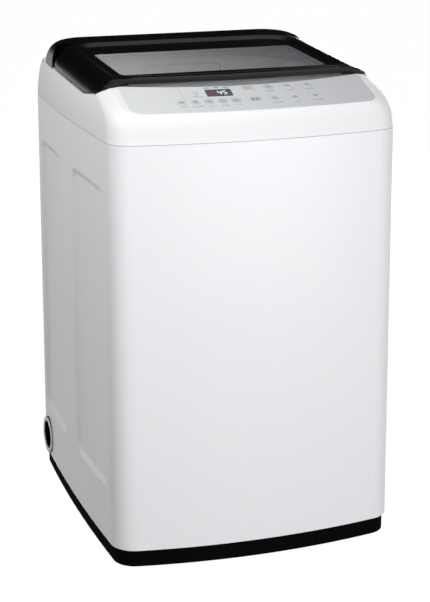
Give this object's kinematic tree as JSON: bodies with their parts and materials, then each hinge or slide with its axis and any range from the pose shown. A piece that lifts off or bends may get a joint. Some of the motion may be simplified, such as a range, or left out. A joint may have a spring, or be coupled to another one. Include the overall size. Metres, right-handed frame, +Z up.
{
  "type": "top load washing machine",
  "caption": "Top load washing machine with a bowed white cabinet, sloped key panel, hinged smoked glass lid, hung tub with spinning drum and pulsator, belt drive and detergent drawer.",
  "frame": {"origin": "centre of the footprint on the floor, under the feet", "axes": "+Z up, front with the key panel faces -Y, +X to the right seen from the front"},
  "size_m": [0.54, 0.59, 0.8825],
  "materials": {
    "white_steel": "gloss enamel",
    "white_plastic": "gloss",
    "black_plastic": "satin gloss",
    "base_plastic": "matt",
    "silver_panel": "satin silver",
    "display_lens": "gloss",
    "key_plastic": "satin",
    "smoked_glass": "smoked",
    "stainless": "brushed",
    "zinc_steel": "zinc plated",
    "spring_steel": "oiled",
    "cast_alloy": "as cast",
    "motor_steel": "dark enamel",
    "grey_plastic": "matt",
    "pale_blue_plastic": "gloss",
    "drawer_plastic": "satin",
    "board_laminate": "matt",
    "rubber": "matt",
    "valve_plastic": "matt"
  },
  "bodies": {
    "machine": {"base": "base_plastic", "cabinet": "white_steel", "control_board": "board_laminate", "control_panel": "silver_panel", "cord_gland": "base_plastic", "corner_brackets": "zinc_steel", "dispenser_housing": "grey_plastic", "display_window": "display_lens", "drain_hose": "grey_plastic", "drain_port": "white_plastic", "foot_lock_nuts": "zinc_steel", "hinge_brackets": "black_plastic", "inlet_valve": "valve_plastic", "lid_bumpers": "rubber", "rear_deck": "black_plastic", "rear_feet": "rubber", "rear_panel": "zinc_steel", "rear_panel_screws": "zinc_steel", "suspension_rods": "zinc_steel", "suspension_springs": "spring_steel", "top_cover": "white_plastic"},
    "lid": {"lid_frame": "black_plastic", "lid_window": "smoked_glass", "hinge_pins": "zinc_steel"},
    "drawer": {"detergent_drawer": "drawer_plastic"},
    "tub": {"outer_tub": "grey_plastic", "tub_cover": "grey_plastic", "tub_seal": "rubber", "suspension_cups": "grey_plastic", "clutch_case": "cast_alloy", "spin_bearing": "zinc_steel", "support_plate": "zinc_steel", "motor": "motor_steel", "drive_belt": "rubber", "drain_valve": "grey_plastic"},
    "drum": {"wash_drum": "stainless", "balance_ring": "pale_blue_plastic", "drum_hub": "cast_alloy", "lint_filters": "pale_blue_plastic", "spin_shaft": "zinc_steel"},
    "pulsator_set": {"pulsator": "pale_blue_plastic", "pulsator_cap": "pale_blue_plastic", "wash_shaft": "zinc_steel"},
    "clutch_input": {"clutch_pulley": "cast_alloy"},
    "motor_rotor": {"motor_pulley": "cast_alloy"},
    "front_left_foot": {"foot_front_left": "rubber"},
    "front_right_foot": {"foot_front_right": "rubber"},
    "wash_key_1_body": {"wash_key_1": "key_plastic"},
    "wash_key_2_body": {"wash_key_2": "key_plastic"},
    "wash_key_3_body": {"wash_key_3": "key_plastic"},
    "wash_key_4_body": {"wash_key_4": "key_plastic"},
    "wash_key_5_body": {"wash_key_5": "key_plastic"},
    "upper_key_1_body": {"upper_key_1": "key_plastic"},
    "upper_key_2_body": {"upper_key_2": "key_plastic"},
    "upper_key_3_body": {"upper_key_3": "key_plastic"},
    "lower_key_1_body": {"lower_key_1": "key_plastic"},
    "lower_key_2_body": {"lower_key_2": "key_plastic"},
    "lower_key_3_body": {"lower_key_3": "key_plastic"},
    "power_key_body": {"power_key": "key_plastic"},
    "start_key_body": {"start_key": "key_plastic"}
  },
  "joints": [
    {"name": "lid_hinge", "type": "hinge", "parent": "machine", "child": "lid", "pos_m": [0, 0.206, 0.87135], "axis": [-1, 0, 0], "range_deg": [0, 95]},
    {"name": "drawer_slide", "type": "slide", "parent": "machine", "child": "drawer", "axis": [0, -1, 0], "range_m": [0, 0.05]},
    {"name": "tub_bounce", "type": "slide", "parent": "machine", "child": "tub", "axis": [0, 0, 1], "range_m": [-0.012, 0.01], "stiffness_N_per_m": 6000, "springref_m": 0.04044, "deforming": ["suspension_springs", "drain_hose"]},
    {"name": "drum_spin", "type": "hinge", "parent": "tub", "child": "drum", "pos_m": [0, 0.008, 0.4], "axis": [0, 0, 1], "continuous": true},
    {"name": "pulsator_spin", "type": "hinge", "parent": "tub", "child": "pulsator_set", "pos_m": [0, 0.008, 0.25], "axis": [0, 0, 1], "continuous": true},
    {"name": "clutch_pulley_spin", "type": "hinge", "parent": "tub", "child": "clutch_input", "pos_m": [0, 0.008, 0.1], "axis": [0, 0, 1], "continuous": true},
    {"name": "motor_spin", "type": "hinge", "parent": "tub", "child": "motor_rotor", "pos_m": [-0.14, 0.008, 0.1], "axis": [0, 0, 1], "continuous": true},
    {"name": "wash_key_1_press", "type": "slide", "parent": "machine", "child": "wash_key_1_body", "axis": [0.0319, 0.3074, -0.9511], "range_m": [0, 0.001], "stiffness_N_per_m": 300, "springref_m": -0.001},
    {"name": "wash_key_2_press", "type": "slide", "parent": "machine", "child": "wash_key_2_body", "axis": [0.026, 0.3079, -0.9511], "range_m": [0, 0.001], "stiffness_N_per_m": 300, "springref_m": -0.001},
    {"name": "wash_key_3_press", "type": "slide", "parent": "machine", "child": "wash_key_3_body", "axis": [0.0202, 0.3084, -0.9511], "range_m": [0, 0.001], "stiffness_N_per_m": 300, "springref_m": -0.001},
    {"name": "wash_key_4_press", "type": "slide", "parent": "machine", "child": "wash_key_4_body", "axis": [0.0143, 0.3087, -0.9511], "range_m": [0, 0.001], "stiffness_N_per_m": 300, "springref_m": -0.001},
    {"name": "wash_key_5_press", "type": "slide", "parent": "machine", "child": "wash_key_5_body", "axis": [0.0085, 0.3089, -0.9511], "range_m": [0, 0.001], "stiffness_N_per_m": 300, "springref_m": -0.001},
    {"name": "upper_key_1_press", "type": "slide", "parent": "machine", "child": "upper_key_1_body", "axis": [-0.0093, 0.3089, -0.9511], "range_m": [0, 0.001], "stiffness_N_per_m": 300, "springref_m": -0.001},
    {"name": "upper_key_2_press", "type": "slide", "parent": "machine", "child": "upper_key_2_body", "axis": [-0.0183, 0.3085, -0.9511], "range_m": [0, 0.001], "stiffness_N_per_m": 300, "springref_m": -0.001},
    {"name": "upper_key_3_press", "type": "slide", "parent": "machine", "child": "upper_key_3_body", "axis": [-0.0279, 0.3078, -0.9511], "range_m": [0, 0.001], "stiffness_N_per_m": 300, "springref_m": -0.001},
    {"name": "lower_key_1_press", "type": "slide", "parent": "machine", "child": "lower_key_1_body", "axis": [-0.0088, 0.3089, -0.9511], "range_m": [0, 0.001], "stiffness_N_per_m": 300, "springref_m": -0.001},
    {"name": "lower_key_2_press", "type": "slide", "parent": "machine", "child": "lower_key_2_body", "axis": [-0.0178, 0.3085, -0.9511], "range_m": [0, 0.001], "stiffness_N_per_m": 300, "springref_m": -0.001},
    {"name": "lower_key_3_press", "type": "slide", "parent": "machine", "child": "lower_key_3_body", "axis": [-0.0272, 0.3078, -0.9511], "range_m": [0, 0.001], "stiffness_N_per_m": 300, "springref_m": -0.001},
    {"name": "power_key_press", "type": "slide", "parent": "machine", "child": "power_key_body", "axis": [0, 0.309, -0.9511], "range_m": [0, 0.001], "stiffness_N_per_m": 300, "springref_m": -0.001},
    {"name": "start_key_press", "type": "slide", "parent": "machine", "child": "start_key_body", "axis": [0, 0.309, -0.9511], "range_m": [0, 0.001], "stiffness_N_per_m": 300, "springref_m": -0.001},
    {"name": "foot_left_screw", "type": "slide", "parent": "machine", "child": "front_left_foot", "axis": [0, 0, -1], "range_m": [-0.0015, 0.012]},
    {"name": "foot_right_screw", "type": "slide", "parent": "machine", "child": "front_right_foot", "axis": [0, 0, -1], "range_m": [-0.0015, 0.012]}
  ],
  "couplings": [
    {"joint": "clutch_pulley_spin", "follows": "pulsator_spin", "ratio": 4},
    {"joint": "motor_spin", "follows": "pulsator_spin", "ratio": 14.444}
  ]
}
